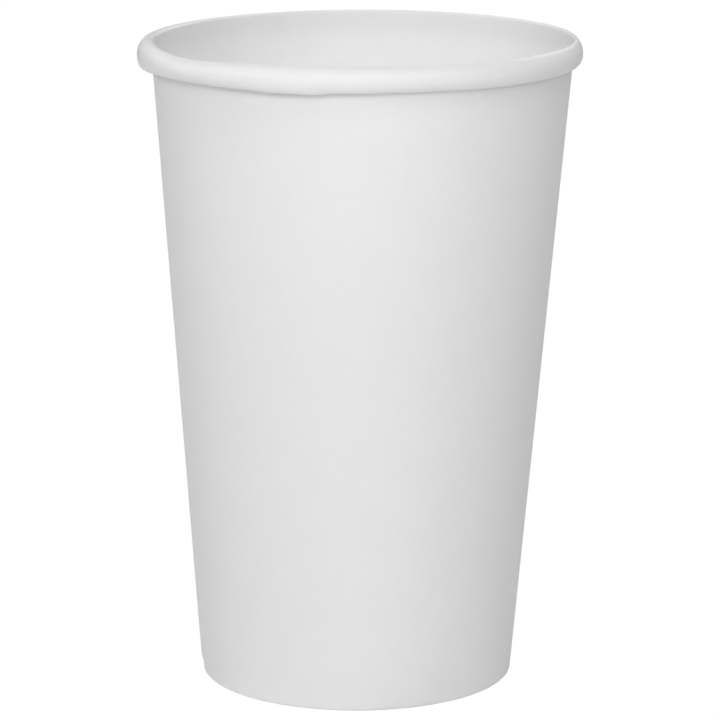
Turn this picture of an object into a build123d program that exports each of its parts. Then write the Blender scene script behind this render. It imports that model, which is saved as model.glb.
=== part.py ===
from build123d import *
from math import atan, atan2, cos, degrees, radians, sin, sqrt, tan
import os

# A single-walled paper coffee cup: one rolled side-wall blank and one pressed bottom disc.
# Millimetres, +Z up. The origin is the centre of the foot ring, on the surface the cup stands on,
# and the lapped side seam lies at -X, with its outer ply running on towards +Y.

# ---------------------------------------------------------------- driving dimensions

rim_diameter = 90.0      # outside of the rolled brim
base_diameter = 64.0     # outside of the foot
height = 131.7           # foot to the top of the brim

board = 0.35             # side-wall board
base_board = 0.30        # bottom-disc board
bond = 0.02              # sealed gap between the disc's skirt and the board on each side of it

brim_height = 5.0        # top to underside of the rolled brim
brim_overhang = 2.44     # how far the brim stands out from the wall's outer face
brim_top_share = 0.16    # radius of the turn over the top, as a share of the brim's own width
under_gap = 0.10         # clear space between the brim's curled underside and the lapped wall
tail_turn = 60.0         # how far the curl's free edge turns up again, in degrees

recess = 8.0             # foot to the underside of the bottom disc
hem_setback = 1.0        # hem's free edge below the disc's underside
skirt_setback = 0.30     # skirt's free edge above the inside of the foot fold
base_fold_radius = 0.8   # outside of the fold between disc and skirt

lap = 8.0                # width of the side seam
joggle = 1.5             # width at the foot of the outer ply's step out onto the inner one
pinch = 1.0              # height where the seam starts, above the foot fold
weld = 0.3               # length over which the joggle runs into the pressed turns at its ends

# ---------------------------------------------------------------- the wall's slope

rim_radius = rim_diameter / 2
base_radius = base_diameter / 2
brim_mid = height - brim_height / 2
flare = atan((rim_radius - brim_overhang - base_radius) / brim_mid)
brim_top_radius = brim_top_share * (board + brim_overhang)


def inside(z, clear=0.0):
    """Radius of the wall's drinking side at height z, less a clearance square to the wall."""
    return base_radius + z * tan(flare) - (board + clear) / cos(flare)


# ---------------------------------------------------------------- the brim's three arcs
# Each arc is tangent to the next: over the top, down the flank, and under towards the wall.

top_centre = (inside(height - brim_top_radius, -brim_top_radius), height - brim_top_radius)
top_reach = rim_radius - top_centre[0]
top_rise = top_centre[1] - brim_mid

flank_radius = (top_reach**2 + top_rise**2 - brim_top_radius**2) / (2 * (top_reach - brim_top_radius))
flank_centre = (rim_radius - flank_radius, brim_mid)

# The under arc touches the flank, the brim's underside, and a line clear of the two-ply wall.
under_offset = inside(height - brim_height, -2 * board - under_gap) - flank_centre[0]
under_slope = tan(flare) + 1 / cos(flare)
half_b = under_offset * under_slope - brim_height / 2 + flank_radius
constant = under_offset**2 + brim_height**2 / 4 - flank_radius**2
under_radius = (sqrt(half_b**2 - under_slope**2 * constant) - half_b) / under_slope**2
under_centre = (
    flank_centre[0] + under_offset + under_slope * under_radius,
    height - brim_height + under_radius,
)


def direction(centre):
    """Angle from the flank's centre to another arc's centre, which is where the two arcs touch."""
    return degrees(atan2(centre[1] - flank_centre[1], centre[0] - flank_centre[0]))


wall_angle = 180 - degrees(flare)
top_angle = direction(top_centre)
under_angle = direction(under_centre)
tail_angle = -180 - tail_turn

# ---------------------------------------------------------------- sections of the board
# Each section is drawn in a radial plane, x outwards and y up. Its line follows the drinking side
# of the board from the hem towards the brim's free edge, so the board always lies to the right.


def radial_plane(angle):
    """Plane through the cup's axis, turned by an angle in degrees from the seam at -X towards +Y."""
    turn = radians(angle)
    return Plane(origin=(0, 0, 0), x_dir=(-cos(turn), sin(turn), 0), z_dir=(sin(turn), cos(turn), 0))


def blank_section(plane):
    """The whole blank: hem, foot fold, wall, and the rolled brim with its curled-in free edge."""
    hem_clear = base_board + 2 * bond
    hem_top = recess - hem_setback
    wall_top = height - brim_top_radius * (1 - sin(flare))
    with BuildSketch(plane) as section:
        with BuildLine():
            Polyline(
                (inside(hem_top, hem_clear), hem_top),
                (inside(board, hem_clear), board),
                (inside(board), board),
                (inside(pinch), pinch),
            )
            offset(amount=board, side=Side.RIGHT)
        make_face()
        with BuildLine():
            Line((inside(pinch), pinch), (inside(wall_top), wall_top))
            CenterArc(top_centre, brim_top_radius, wall_angle, top_angle - wall_angle)
            CenterArc(flank_centre, flank_radius, top_angle, under_angle - top_angle)
            CenterArc(under_centre, under_radius, under_angle, tail_angle - under_angle)
            offset(amount=board, side=Side.RIGHT)
        make_face()
    return section.sketch


def seam_section(plane, depth, proud=0.0, short=0.0):
    """The straight wall where the seam runs, at a depth below the drinking side.

    It can stand proud of both faces of the board, and stop short of both ends of the seam.
    """
    low = pinch + short
    high = height - brim_top_radius - short
    with BuildSketch(plane) as section:
        with BuildLine():
            Line((inside(low, proud - depth), low), (inside(high, proud - depth), high))
            offset(amount=board + 2 * proud, side=Side.RIGHT)
        make_face()
    return section.sketch


# ---------------------------------------------------------------- side wall
# One blank, wrapped into a cone and lapped on itself. The outer ply steps out by one board at the
# joggle, passes behind the free edge of the inner ply, and is sealed to it. The lap is pressed to
# one board's thickness where the brim rolls over and where the foot folds in.

wrap_axis = Axis((0, 0, 0), (0, 0, -1))
seam_plane = radial_plane(0)
joggle_angle = degrees(joggle / base_radius)
joggle_plane = radial_plane(-joggle_angle)
untrimmed_arc = 90.0     # wider than the lap, whose free edge is then cut straight

with BuildPart() as joggle_gap:
    revolve(seam_section(joggle_plane, 0, board, weld), axis=wrap_axis, revolution_arc=joggle_angle)

with BuildPart() as joggle_step:
    loft([seam_section(seam_plane, board), seam_section(joggle_plane, 0)], ruled=True)

with BuildPart() as outer_ply:
    revolve(seam_section(seam_plane, board), axis=wrap_axis, revolution_arc=untrimmed_arc)
    split(bisect_by=Plane.XZ.offset(-lap), keep=Keep.TOP)

with BuildPart() as side_wall:
    revolve(blank_section(seam_plane), axis=Axis.Z)
    add(joggle_gap.part, mode=Mode.SUBTRACT)
    add(joggle_step.part)
    add(outer_ply.part)

# ---------------------------------------------------------------- bottom disc
# One flat disc whose edge is turned down into a skirt, sealed between the wall and the hem.

disc_top = recess + base_board
skirt_foot = board + skirt_setback

with BuildPart() as bottom_disc:
    with BuildSketch(Plane.XZ):
        with BuildLine():
            FilletPolyline(
                (0, disc_top),
                (inside(disc_top, bond), disc_top),
                (inside(skirt_foot, bond), skirt_foot),
                radius=base_fold_radius,
            )
            offset(amount=base_board, side=Side.RIGHT)
        make_face()
    revolve(axis=Axis.Z)

# ---------------------------------------------------------------- output

side_wall.part.label = "side_wall"
bottom_disc.part.label = "bottom_disc"

os.makedirs("parts", exist_ok=True)
export_step(side_wall.part, "parts/side_wall.step")
export_step(bottom_disc.part, "parts/bottom_disc.step")
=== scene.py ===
import math

import bmesh
import bpy
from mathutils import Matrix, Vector


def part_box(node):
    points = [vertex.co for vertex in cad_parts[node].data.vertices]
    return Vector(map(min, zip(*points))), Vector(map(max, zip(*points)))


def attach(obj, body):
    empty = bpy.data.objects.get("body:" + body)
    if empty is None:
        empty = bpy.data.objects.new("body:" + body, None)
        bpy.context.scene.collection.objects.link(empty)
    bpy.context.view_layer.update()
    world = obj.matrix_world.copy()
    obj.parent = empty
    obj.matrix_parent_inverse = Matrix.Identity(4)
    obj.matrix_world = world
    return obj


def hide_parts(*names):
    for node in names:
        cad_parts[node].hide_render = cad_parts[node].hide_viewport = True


# A single-walled paper coffee cup: one rolled side-wall blank and one pressed bottom disc.
# Metres. The foot stands on z = 0, and the lapped side seam lies at -X.

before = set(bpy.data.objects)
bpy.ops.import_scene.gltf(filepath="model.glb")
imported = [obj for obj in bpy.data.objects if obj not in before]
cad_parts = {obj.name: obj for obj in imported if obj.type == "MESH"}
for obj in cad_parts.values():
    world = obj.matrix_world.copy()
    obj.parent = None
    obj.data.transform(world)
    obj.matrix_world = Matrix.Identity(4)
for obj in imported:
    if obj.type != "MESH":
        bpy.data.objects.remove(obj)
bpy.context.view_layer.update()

# ---------------------------------------------------------------- sizes

wall_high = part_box("side_wall")[1]
disc_low, disc_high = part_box("bottom_disc")

RIM_RADIUS = wall_high.x          # outside of the rolled brim
HEIGHT = wall_high.z
DISC_TOP = disc_high.z            # drinking side of the bottom disc
SKIRT_FOOT = disc_low.z           # free edge of the disc's turned-down skirt

FOOT_RADIUS = 0.0320
BOARD = 0.00035                   # side-wall board
DISC_BOARD = 0.00030
BOND = 0.00002                    # gap between sealed faces
BRIM_HEIGHT = 0.0050
BRIM_OVERHANG = 0.00244           # how far the brim stands out from the wall's outer face
BRIM_TOP_RADIUS = 0.00045
ROUND_TOP_RADIUS = 0.00090        # where the brim is roundest, at the stiff seam
BRIM_GAP = 0.00010                # between the curled underside and the two-ply wall
TAIL_TURN = 60                    # how far the curl's free edge turns up again
HEM_SETBACK = 0.0010              # hem's free edge below the disc's underside
HEM_TOP = DISC_TOP - DISC_BOARD - HEM_SETBACK
FOLD_RADIUS = 0.00012             # drinking side of the foot fold
DISC_FOLD_RADIUS = 0.0005         # drinking side of the fold between disc and skirt
DISC_FOLD_SETBACK = 1.1 * DISC_FOLD_RADIUS
LAP = 0.0080                      # width of the side seam
JOGGLE = 0.0015                   # width at the foot of the outer ply's step out
PRESSED = 0.47                    # thickness left to each ply where brim and foot are pressed
PRESSED_BELOW = 0.0025            # the seam is pressed more and more below this height
PRESSED_ABOVE = HEIGHT - 0.0055   # and above this one
FOOT_PRESSED = 0.0005             # fully pressed below this height
BRIM_PRESSED = HEIGHT - 0.0012    # and above this one

BRIM_MID = HEIGHT - BRIM_HEIGHT / 2
WIDEST = HEIGHT - 0.0028          # height of the brim's outermost line
FLARE = math.atan((RIM_RADIUS - BRIM_OVERHANG - FOOT_RADIUS) / BRIM_MID)
WALL_ANGLE = 180 - math.degrees(FLARE)


def inside(z, clear=0.0):
    """Radius of the wall's drinking side at height z, less a clearance square to the wall."""
    return FOOT_RADIUS + z * math.tan(FLARE) - (BOARD + clear) / math.cos(FLARE)


def smooth(x, low, high):
    """0 below low, 1 above high, with an even turn between them."""
    t = min(max((x - low) / (high - low), 0), 1)
    return t * t * (3 - 2 * t)


# ---------------------------------------------------------------- drawing a board's line


def begin(bm, x, z):
    """The first point of a line in the plane y = 0."""
    return bmesh.ops.create_vert(bm, co=(x, 0, z))["vert"][0]


def run(bm, tip, x, z, pieces):
    """Carries the line straight on to a point, in equal pieces."""
    start = tip.co.copy()
    for i in range(pieces):
        tip = bmesh.ops.extrude_vert_indiv(bm, verts=[tip])["verts"][0]
        tip.co = start.lerp(Vector((x, 0, z)), (i + 1) / pieces)
    return tip


def turn(bm, tip, centre, degrees, pieces):
    """Carries the line on round a centre, clockwise seen with x to the right and z up."""
    result = bmesh.ops.spin(
        bm, geom=[tip], cent=(centre[0], 0, centre[1]), axis=(0, 1, 0),
        angle=math.radians(degrees), steps=pieces, use_duplicate=False,
    )
    return next(e for e in result["geom_last"] if isinstance(e, bmesh.types.BMVert))


def sweep(bm, geom, angle, steps):
    """Carries a line round the cup's axis, and returns its last position."""
    result = bmesh.ops.spin(
        bm, geom=geom, cent=(0, 0, 0), axis=(0, 0, 1),
        angle=angle, steps=steps, use_duplicate=False,
    )
    return result["geom_last"]


def drinking_side_out(bm):
    """Turns every face of an open sheet so that its normal points off the drinking side."""
    bmesh.ops.recalc_face_normals(bm, faces=bm.faces)
    highest = max(bm.faces, key=lambda f: f.calc_center_median().z)
    if highest.normal.z < 0:
        bmesh.ops.reverse_faces(bm, faces=bm.faces)
    bm.normal_update()


# ---------------------------------------------------------------- how the cup is out of true
# Places and reaches round the cup are in degrees from the front, positive to the right.

SEAM_SIDE = -90                   # where the side seam is
FAR_SIDE = 90

BASE_LEAN = -0.00067              # sideways lean of the wall at the foot
TOP_LEAN = 0.00068                # and under the brim
OVAL = 0.0034                     # share by which the wall is narrower across the seam

SEAM_ROUND_REACH = 75             # the brim's inner edge is roundest at the seam
FAR_ROUND = 0.5                   # and half as round opposite it
FAR_ROUND_REACH = 60

SEAM_SAG = 0.17                   # share by which the roll is taller at the seam
SEAM_SAG_REACH = 45
FAR_SAG = 0.04                    # and opposite it
FAR_SAG_REACH = 40
CRIMP = -12                       # where the brim's underside steps up
CRIMP_SHARE = 0.10
CRIMP_RAMP = 30                   # the roll grows over this stretch before the step
CRIMP_STEP = 4
DIP = -54                         # where the brim's top is lowest, and the roll is flatter
DIP_REACH = 28
DIP_DEPTH = 0.0007
DIP_FLAT = 0.14
DIP_FADE = (HEIGHT - 0.012, HEIGHT - 0.002)
FRONT_FLAT_AT = 12                # the roll is a little flatter here too
FRONT_FLAT = 0.05
FRONT_FLAT_REACH = 20
WAVES = ((9, 1.0), (17, 2.3), (29, 0.7))    # uneven forming: waves to a turn, and their phase
WAVE_SHARE = 0.015
PULL_IN = 0.00005                 # how far the roll is drawn in, on average
ROLL_CLEAR = 0.0001               # the roll starts this far outside the wall's drinking side
ROLL_FADE = (HEIGHT - 0.009, HEIGHT - 0.0065)


def lean(v):
    """Sideways shift of the wall, from the foot to the brim."""
    return BASE_LEAN + (TOP_LEAN - BASE_LEAN) * v.z / BRIM_MID


def bump(degrees, middle, reach):
    """1 at the middle of a stretch of the brim, falling evenly to 0 at its ends."""
    away = abs((degrees - middle + 180) % 360 - 180)
    return 1 - smooth(away, 0, reach)


def from_front(v):
    """Degrees round the cup from the front, positive to the right."""
    return math.degrees(math.atan2(v.x, -v.y))


def waviness(degrees):
    """Uneven forming round the brim, from -1 to 1."""
    a = math.radians(degrees)
    return sum(math.sin(count * a + phase) for count, phase in WAVES) / len(WAVES)


def roundness(degrees):
    """How far the brim's inner edge is from a tight turn: most at the stiff seam."""
    far = FAR_ROUND * bump(degrees, FAR_SIDE, FAR_ROUND_REACH)
    return bump(degrees, SEAM_SIDE, SEAM_ROUND_REACH) + far


def roll_stretch(degrees):
    """Share by which the roll is taller than drawn: it sags at the seam and steps at a crimp."""
    sag = SEAM_SAG * bump(degrees, SEAM_SIDE, SEAM_SAG_REACH)
    sag += FAR_SAG * bump(degrees, FAR_SIDE, FAR_SAG_REACH)
    crimp = CRIMP_SHARE * smooth(degrees, CRIMP - CRIMP_RAMP, CRIMP)
    crimp *= 1 - smooth(degrees, CRIMP, CRIMP + CRIMP_STEP)
    flat = DIP_FLAT * bump(degrees, DIP, DIP_REACH)
    flat += FRONT_FLAT * bump(degrees, FRONT_FLAT_AT, FRONT_FLAT_REACH)
    return sag + crimp - flat + WAVE_SHARE * waviness(degrees)


def out_of_true(v):
    """A point of the true cup, moved to where the formed paper really lies."""
    radius = math.hypot(v.x, v.y)
    degrees = from_front(v)
    in_roll = smooth(radius, inside(v.z) + ROLL_CLEAR, inside(v.z) + BRIM_OVERHANG)
    in_roll *= smooth(v.z, *ROLL_FADE)
    shift = (lean(v) - OVAL * v.x) * (1 - in_roll)
    pull = 1 - in_roll * PULL_IN * (1 + waviness(degrees)) / RIM_RADIUS
    z = HEIGHT - (HEIGHT - v.z) * (1 + in_roll * roll_stretch(degrees))
    z -= DIP_DEPTH * bump(degrees, DIP, DIP_REACH) * smooth(v.z, *DIP_FADE)
    return Vector((v.x * pull + shift, v.y * pull, z))


# ---------------------------------------------------------------- side wall

FULL_TURN = 2 * math.pi
LAP_ANGLE = LAP / FOOT_RADIUS
JOGGLE_ANGLE = JOGGLE / FOOT_RADIUS
OPEN = 0.75                       # share of its real turn that the blank is first swept through
FAN_END = 1.9 * math.pi           # past the open fan: only its first edge, rounded below zero
WALL_STEPS = 400
JOGGLE_STEPS = 8
LAP_STEPS = 14
DISC_STEPS = 240

RESTING_GAP = 0.00003             # left between the curled underside and the wall's one ply
RESTING_DEPTH = (0.0028, 0.0042)  # the underside comes in between these depths below the top
RESTING_REACH = (0.0003, 0.0015)  # and between these distances in from the outermost line
FACES_IN = (0.6, 0.95)            # the wall is where the board faces this squarely inwards
MERGE = 0.000001                  # points closer than this become one


def brim_arcs(top_radius):
    """The three arcs of the rolled brim: their centres, and the angles at which they meet."""
    top = (inside(HEIGHT - top_radius, -top_radius), HEIGHT - top_radius)
    reach = RIM_RADIUS - top[0]
    rise = top[1] - WIDEST
    flank_radius = (reach**2 + rise**2 - top_radius**2) / (2 * (reach - top_radius))
    flank = (RIM_RADIUS - flank_radius, WIDEST)
    offset = inside(HEIGHT - BRIM_HEIGHT, -2 * BOARD - BRIM_GAP) - flank[0]
    slope = math.tan(FLARE) + 1 / math.cos(FLARE)
    below = WIDEST - HEIGHT + BRIM_HEIGHT
    half_b = offset * slope - below + flank_radius
    constant = offset**2 + below**2 - flank_radius**2
    under_radius = (math.sqrt(half_b**2 - slope**2 * constant) - half_b) / slope**2
    under = (flank[0] + offset + slope * under_radius, HEIGHT - BRIM_HEIGHT + under_radius)
    top_angle = math.degrees(math.atan2(top[1] - flank[1], top[0] - flank[0]))
    under_angle = math.degrees(math.atan2(under[1] - flank[1], under[0] - flank[0]))
    return top, flank, under, top_angle, under_angle


def blank_line(bm, top_radius):
    """The drinking side of the blank, from the hem's free edge to the curl's free edge."""
    hem_clear = DISC_BOARD + 2 * BOND
    floor = BOARD + FOLD_RADIUS
    hem_x = inside(floor, hem_clear)
    wall_x = inside(floor)
    top, flank, under, top_angle, under_angle = brim_arcs(top_radius)
    wall_top = top[1] + top_radius * math.sin(FLARE)
    tip = begin(bm, inside(HEM_TOP, hem_clear), HEM_TOP)
    tip = run(bm, tip, hem_x, floor, 6)
    tip = turn(bm, tip, (hem_x + FOLD_RADIUS, floor), -90, 3)
    tip = run(bm, tip, wall_x - FOLD_RADIUS, BOARD, 1)
    tip = turn(bm, tip, (wall_x - FOLD_RADIUS, floor), -90, 3)
    tip = run(bm, tip, inside(PRESSED_BELOW), PRESSED_BELOW, 4)
    tip = run(bm, tip, inside(PRESSED_ABOVE), PRESSED_ABOVE, 20)
    tip = run(bm, tip, inside(wall_top), wall_top, 5)
    tip = turn(bm, tip, top, WALL_ANGLE - top_angle, 8)
    tip = turn(bm, tip, flank, top_angle - under_angle, 18)
    turn(bm, tip, under, under_angle + 180 + TAIL_TURN, 12)


def sweep_blank(bm, rounder):
    """The blank swept through an open fan: the whole turn, the joggle, then the lap."""
    other = bmesh.new()
    blank_line(other, ROUND_TOP_RADIUS)
    blank_line(bm, BRIM_TOP_RADIUS)
    for v, w in zip(bm.verts, other.verts):
        v[rounder] = w.co - v.co
    other.free()
    geom = bm.verts[:] + bm.edges[:]
    geom = sweep(bm, geom, (FULL_TURN - JOGGLE_ANGLE) * OPEN, WALL_STEPS)
    geom = sweep(bm, geom, JOGGLE_ANGLE * OPEN, JOGGLE_STEPS)
    sweep(bm, geom, LAP_ANGLE * OPEN, LAP_STEPS)


def closing(radius, z):
    """How far the curled underside comes in to rest on the one-ply wall, which itself stays."""
    if radius < inside(z) + 1.5 * BOARD:
        return 0.0
    reach = BOARD + BRIM_GAP - RESTING_GAP
    return reach * smooth(HEIGHT - z, *RESTING_DEPTH) * smooth(RIM_RADIUS - radius, *RESTING_REACH)


def wrap(bm, press, rounder):
    """Wraps the open fan round into a cup, with the outer ply of the lap behind the inner one."""
    for v in bm.verts:
        angle = math.atan2(v.co.y, v.co.x) % FULL_TURN
        radius = math.hypot(v.co.x, v.co.y)
        out = Vector((v.co.x, v.co.y, 0)) / radius
        facing = v.normal.dot(out)
        turned = angle / OPEN
        if angle > FAN_END:
            turned = 0.0
        over = max(turned - FULL_TURN, 0) * (LAP / radius) / LAP_ANGLE
        turned = min(turned, FULL_TURN) + over
        in_lap = max(smooth(turned, FULL_TURN - 2 * JOGGLE_ANGLE, FULL_TURN),
                     1 - smooth(turned, LAP_ANGLE, LAP_ANGLE + JOGGLE_ANGLE))
        on_wall = smooth(-facing, *FACES_IN) * smooth(v.co.z, FOOT_PRESSED, PRESSED_BELOW)
        on_wall *= 1 - smooth(v.co.z, PRESSED_ABOVE, BRIM_PRESSED)
        thickness = 1 - in_lap * (1 - PRESSED) * (1 - on_wall)
        depth = smooth(turned, FULL_TURN - JOGGLE_ANGLE, FULL_TURN) * (BOARD + BOND) * thickness
        azimuth = math.pi - turned
        degrees = math.degrees(azimuth) + 90
        roundest = v[rounder] * roundness(degrees)
        radius -= facing * depth + closing(radius, v.co.z) * (1 - in_lap)
        radius += roundest.x
        z = v.co.z - v.normal.z * depth + roundest.z
        v[press].clear()
        v[press][0] = thickness
        v.co = out_of_true(Vector((radius * math.cos(azimuth), radius * math.sin(azimuth), z)))


def finish_sheet(name, bm, thickness, materials, pressed=False):
    """Makes the sheet an object and gives it its board: film, board and cut edge in that order."""
    for face in bm.faces:
        face.smooth = True
    mesh = bpy.data.meshes.new(name)
    bm.to_mesh(mesh)
    bm.free()
    piece = bpy.data.objects.new(name, mesh)
    bpy.context.scene.collection.objects.link(piece)
    for material in materials:
        mesh.materials.append(material)
    wall = piece.modifiers.new("board", "SOLIDIFY")
    wall.thickness = thickness
    wall.offset = -1
    wall.use_rim = True
    wall.material_offset = 1
    wall.material_offset_rim = 2
    if pressed:
        piece.vertex_groups.new(name="pressed")
        wall.vertex_group = "pressed"
    return piece


def side_wall(materials):
    """The blank wrapped, lapped and formed. Its drinking side is drawn, and the board goes outwards."""
    bm = bmesh.new()
    press = bm.verts.layers.deform.new()
    rounder = bm.verts.layers.float_vector.new("rounder")
    sweep_blank(bm, rounder)
    drinking_side_out(bm)
    wrap(bm, press, rounder)
    bm.verts.layers.float_vector.remove(rounder)
    # Wrapping runs the other way round the axis, so the faces are turned back again.
    drinking_side_out(bm)
    return finish_sheet("side_wall_board", bm, BOARD, materials, pressed=True)


# ---------------------------------------------------------------- bottom disc


def bottom_disc(materials):
    """A disc with its edge turned down into a skirt, its drinking side drawn from the middle."""
    bm = bmesh.new()
    fold_x = inside(DISC_TOP, BOND) - DISC_FOLD_SETBACK
    fold = (fold_x, DISC_TOP - DISC_FOLD_RADIUS)
    tip = begin(bm, 0, DISC_TOP)
    tip = run(bm, tip, fold_x, DISC_TOP, 16)
    tip = turn(bm, tip, fold, 90 + math.degrees(FLARE), 6)
    run(bm, tip, inside(SKIRT_FOOT, BOND), SKIRT_FOOT, 6)
    bmesh.ops.spin(
        bm, geom=bm.verts[:] + bm.edges[:], cent=(0, 0, 0), axis=(0, 0, 1),
        angle=FULL_TURN, steps=DISC_STEPS, use_merge=True, use_duplicate=False,
    )
    bmesh.ops.remove_doubles(bm, verts=bm.verts, dist=MERGE)
    drinking_side_out(bm)
    for v in bm.verts:
        v.co = out_of_true(v.co)
    return finish_sheet("bottom_disc_board", bm, DISC_BOARD, materials)


# ---------------------------------------------------------------- finishes

THROUGH_GLOW = 0.3                # share of the light that enters the paper and comes out elsewhere
GLOW_DEPTH = 0.0008
RELIEF_DEPTH = 0.00004


def link(tree, source, target):
    tree.links.new(source, target)


def add_node(tree, kind, **settings):
    """A node with its sockets, or else its own properties, set by name."""
    node = tree.nodes.new(kind)
    for key, value in settings.items():
        if key in node.inputs:
            node.inputs[key].default_value = value
        else:
            setattr(node, key, value)
    return node


def paper_grain_group():
    """Fibre speckle and cloudy formation of paper: a tint to multiply, a roughness and a relief."""
    group = bpy.data.node_groups.new("paper_grain", "ShaderNodeTree")
    sockets = group.interface
    sockets.new_socket("Vector", in_out="INPUT", socket_type="NodeSocketVector")
    scales = ("Fibre Scale", "Cloud Scale")
    amounts = ("Fibre Tint", "Cloud Tint", "Roughness", "Roughness Spread")
    for name in scales + amounts:
        sockets.new_socket(name, in_out="INPUT", socket_type="NodeSocketFloat")
    for name in ("Tint", "Roughness", "Relief"):
        sockets.new_socket(name, in_out="OUTPUT", socket_type="NodeSocketFloat")
    given = group.nodes.new("NodeGroupInput")
    out = group.nodes.new("NodeGroupOutput")

    fibre = add_node(group, "ShaderNodeTexNoise", Detail=3.0, Roughness=0.6, Distortion=1.2)
    cloud = add_node(group, "ShaderNodeTexNoise", Detail=4.0, Roughness=0.55)
    link(group, given.outputs["Vector"], fibre.inputs["Vector"])
    link(group, given.outputs["Vector"], cloud.inputs["Vector"])
    link(group, given.outputs["Fibre Scale"], fibre.inputs["Scale"])
    link(group, given.outputs["Cloud Scale"], cloud.inputs["Scale"])

    def centred(noise, amount):
        """A noise turned into a swing about zero."""
        middle = add_node(group, "ShaderNodeMath", operation="SUBTRACT")
        middle.inputs[1].default_value = 0.5
        swing = add_node(group, "ShaderNodeMath", operation="MULTIPLY")
        link(group, noise.outputs["Fac"], middle.inputs[0])
        link(group, middle.outputs[0], swing.inputs[0])
        link(group, amount, swing.inputs[1])
        return swing.outputs[0]

    def total(first, second):
        """Two values added."""
        both = add_node(group, "ShaderNodeMath", operation="ADD")
        link(group, first, both.inputs[0])
        link(group, second, both.inputs[1])
        return both.outputs[0]

    speckle = centred(fibre, given.outputs["Fibre Tint"])
    formation = centred(cloud, given.outputs["Cloud Tint"])
    swing = total(speckle, formation)
    tint = add_node(group, "ShaderNodeMath", operation="ADD")
    tint.inputs[1].default_value = 1.0
    link(group, swing, tint.inputs[0])
    link(group, tint.outputs[0], out.inputs["Tint"])
    rough = total(centred(fibre, given.outputs["Roughness Spread"]), given.outputs["Roughness"])
    link(group, rough, out.inputs["Roughness"])
    link(group, fibre.outputs["Fac"], out.inputs["Relief"])
    return group


def paper(name, grain, tint, roughness, specular, relief, **values):
    """A paper finish: the shared grain drives colour, roughness and a very shallow relief."""
    material = bpy.data.materials.new(name)
    material.use_nodes = True
    tree = material.node_tree
    shader = tree.nodes["Principled BSDF"]
    shader.inputs["Specular IOR Level"].default_value = specular
    shader.inputs["Subsurface Weight"].default_value = THROUGH_GLOW
    shader.inputs["Subsurface Radius"].default_value = (1.0, 1.0, 1.0)
    shader.inputs["Subsurface Scale"].default_value = GLOW_DEPTH
    place = add_node(tree, "ShaderNodeTexCoord")
    pattern = add_node(tree, "ShaderNodeGroup", node_tree=grain)
    pattern.inputs["Roughness"].default_value = roughness
    for key, value in values.items():
        pattern.inputs[key.replace("_", " ").title()].default_value = value
    colour = add_node(tree, "ShaderNodeVectorMath", operation="SCALE")
    colour.inputs[0].default_value = tint
    shallow = add_node(tree, "ShaderNodeBump", Strength=relief, Distance=RELIEF_DEPTH)
    link(tree, place.outputs["Object"], pattern.inputs["Vector"])
    link(tree, pattern.outputs["Tint"], colour.inputs["Scale"])
    link(tree, colour.outputs["Vector"], shader.inputs["Base Color"])
    link(tree, pattern.outputs["Roughness"], shader.inputs["Roughness"])
    link(tree, pattern.outputs["Relief"], shallow.inputs["Height"])
    link(tree, shallow.outputs["Normal"], shader.inputs["Normal"])
    return material


grain = paper_grain_group()
film = paper(
    "film_coated_board", grain, tint=(0.93, 0.93, 0.93), roughness=0.50, specular=0.4, relief=0.5,
    fibre_scale=1100, cloud_scale=130, fibre_tint=0.03, cloud_tint=0.05, roughness_spread=0.15,
)
board = paper(
    "uncoated_board", grain, tint=(0.87, 0.87, 0.87), roughness=0.55, specular=0.5, relief=0.8,
    fibre_scale=1300, cloud_scale=110, fibre_tint=0.05, cloud_tint=0.03, roughness_spread=0.20,
)
edge = paper(
    "cut_board_edge", grain, tint=(0.80, 0.79, 0.77), roughness=0.80, specular=0.3, relief=1.0,
    fibre_scale=2600, cloud_scale=500, fibre_tint=0.25, cloud_tint=0.12, roughness_spread=0.10,
)
finishes = (film, board, edge)

# ---------------------------------------------------------------- pieces

wall = side_wall(finishes)
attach(wall, "root")
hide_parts("side_wall")

disc = bottom_disc(finishes)
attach(disc, "root")
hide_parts("bottom_disc")

# ---------------------------------------------------------------- camera

CAMERA_DISTANCE = 0.7742
CAMERA_ELEVATION = math.radians(12.675)
AIM_BELOW_MIDDLE = 0.0008
LENS = 188.65                     # millimetres, on a sensor 36 wide

camera_data = bpy.data.cameras.new("camera")
camera = bpy.data.objects.new("camera", camera_data)
bpy.context.scene.collection.objects.link(camera)
bpy.context.scene.camera = camera
aim = Vector((0, 0, HEIGHT / 2 - AIM_BELOW_MIDDLE))
towards = Vector((0, -math.cos(CAMERA_ELEVATION), math.sin(CAMERA_ELEVATION)))
camera.location = aim + CAMERA_DISTANCE * towards
camera.rotation_euler = (math.pi / 2 - CAMERA_ELEVATION, 0, 0)
camera_data.sensor_width = 36
camera_data.lens = LENS
camera_data.clip_start = 0.01

# ---------------------------------------------------------------- floor and light

BACKDROP_WHITE = 1.02             # what the camera sees of the floor and the studio
FLOOR_REACH = 4                   # half the floor's width
FLOOR_TINT = (0.9, 0.9, 0.9, 1)
SOFTBOX_SIZE = 0.4
SOFTBOX_DISTANCE = 1.2


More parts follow.
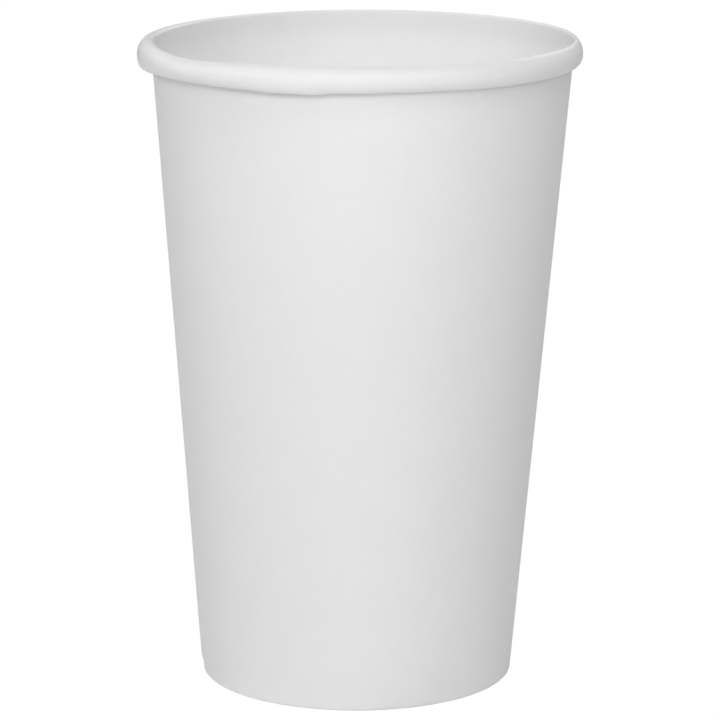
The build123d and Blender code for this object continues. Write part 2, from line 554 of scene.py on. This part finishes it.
def stage_floor():
    """A pale floor that lights the cup like card, and is plain white to the camera."""
    bm = bmesh.new()
    bmesh.ops.create_grid(bm, x_segments=1, y_segments=1, size=FLOOR_REACH)
    mesh = bpy.data.meshes.new("floor")
    bm.to_mesh(mesh)
    bm.free()
    floor = bpy.data.objects.new("floor", mesh)
    bpy.context.scene.collection.objects.link(floor)
    material = bpy.data.materials.new("studio_floor")
    material.use_nodes = True
    tree = material.node_tree
    shader = tree.nodes["Principled BSDF"]
    shader.inputs["Base Color"].default_value = FLOOR_TINT
    shader.inputs["Roughness"].default_value = 0.9
    shader.inputs["Specular IOR Level"].default_value = 0.0
    seen = add_node(tree, "ShaderNodeEmission", Strength=BACKDROP_WHITE)
    seen_by_camera(tree, shader.outputs[0], seen.outputs[0], tree.nodes["Material Output"])
    mesh.materials.append(material)


def studio_world():
    """A studio that gives no light of its own, and is plain white to the camera."""
    world = bpy.data.worlds.new("studio")
    bpy.context.scene.world = world
    world.use_nodes = True
    tree = world.node_tree
    unlit = tree.nodes["Background"]
    unlit.inputs["Strength"].default_value = 0.0
    seen = add_node(tree, "ShaderNodeBackground", Strength=BACKDROP_WHITE)
    seen_by_camera(tree, unlit.outputs[0], seen.outputs[0], tree.nodes["World Output"])


def seen_by_camera(tree, lighting, seen, out):
    """Sends one shader to the camera's own rays and the other to all the rest."""
    path = add_node(tree, "ShaderNodeLightPath")
    mix = add_node(tree, "ShaderNodeMixShader")
    link(tree, path.outputs["Is Camera Ray"], mix.inputs[0])
    link(tree, lighting, mix.inputs[1])
    link(tree, seen, mix.inputs[2])
    link(tree, mix.outputs[0], out.inputs["Surface"])


def softbox(name, azimuth, elevation, power):
    """A soft light aimed at the cup. Azimuth is from the front, positive to the right."""
    data = bpy.data.lights.new(name, "AREA")
    data.shape = "RECTANGLE"
    data.size = SOFTBOX_SIZE
    data.size_y = SOFTBOX_SIZE
    data.energy = power
    light = bpy.data.objects.new(name, data)
    bpy.context.scene.collection.objects.link(light)
    a = math.radians(azimuth)
    e = math.radians(elevation)
    away = Vector((math.sin(a) * math.cos(e), -math.cos(a) * math.cos(e), math.sin(e)))
    target = Vector((0, 0, HEIGHT / 2))
    light.location = target + SOFTBOX_DISTANCE * away
    light.rotation_euler = away.to_track_quat("Z", "Y").to_euler()


stage_floor()
studio_world()
softbox("front_left", -15, 30, 2.75)
softbox("front_right", 15, 30, 3.35)
softbox("high_right", 15, 60, 3.55)
softbox("side_front_left", -45, 30, 2.1)
softbox("side_left", -110, 30, 2.05)
softbox("high_side_left", -110, 60, 0.9)
softbox("side_right", 110, 30, 1.25)
softbox("back_left", -150, 30, 1.25)
softbox("back_right", 150, 30, 3.4)

bpy.context.scene.view_settings.view_transform = "Standard"
